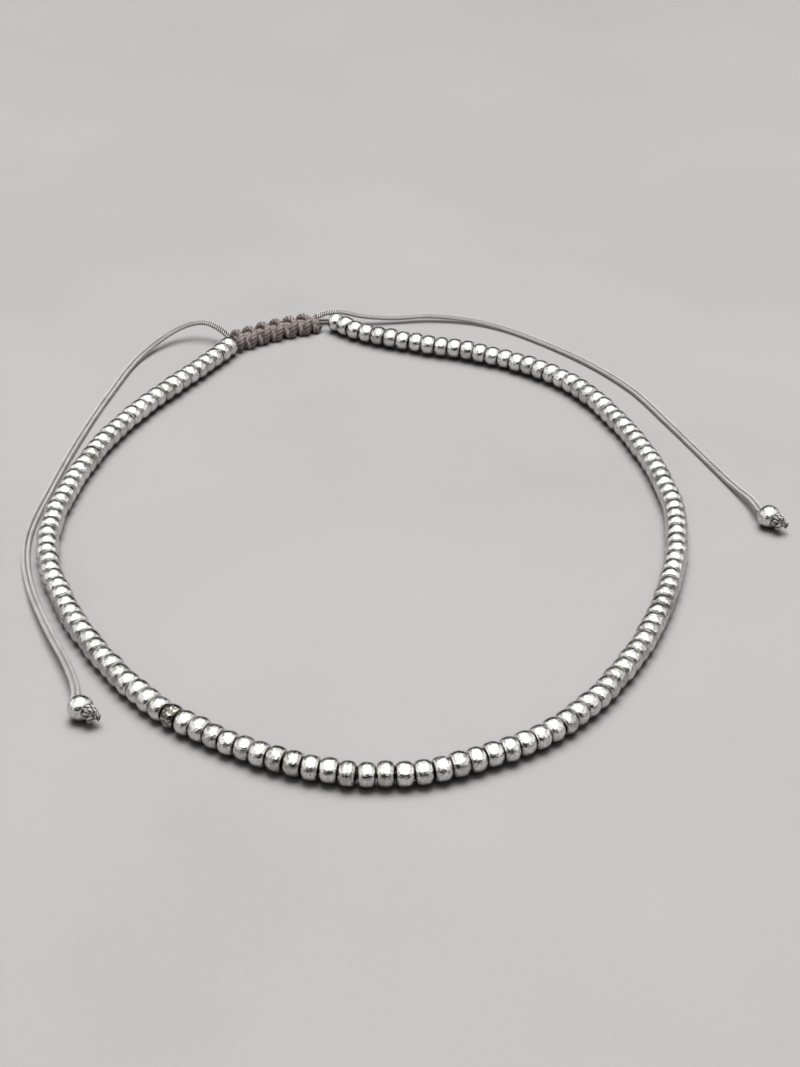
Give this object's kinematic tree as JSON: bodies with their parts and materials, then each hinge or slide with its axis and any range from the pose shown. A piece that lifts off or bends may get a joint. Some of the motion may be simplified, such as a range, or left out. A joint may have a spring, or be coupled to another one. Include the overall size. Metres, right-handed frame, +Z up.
{
  "type": "beaded anklet",
  "caption": "Loop of silver-coated glass seed beads closed by a sliding macrame knot, with two cord tails that end in a bead.",
  "frame": {"origin": "middle of the box round the loop and its sliding knot, on the plane the anklet lies on", "axes": "+Z up from the surface, +Y towards the sliding knot at the back, +X to the right seen from the front"},
  "size_m": [0.0882, 0.1012, 0.0029],
  "materials": {
    "silver_glass": "mirror-bright silver coating on pressed glass, faintly uneven",
    "waxed_cord": "thin twisted cord with a soft wax sheen"
  },
  "bodies": {
    "root": {"bead_string_left": "silver_glass", "bead_string_right": "silver_glass", "sliding_knot": "waxed_cord", "tail_cord_left": "waxed_cord", "tail_cord_right": "waxed_cord", "end_bead_left": "silver_glass", "end_bead_right": "silver_glass", "stop_knot_left": "waxed_cord", "stop_knot_right": "waxed_cord"}
  },
  "joints": []
}
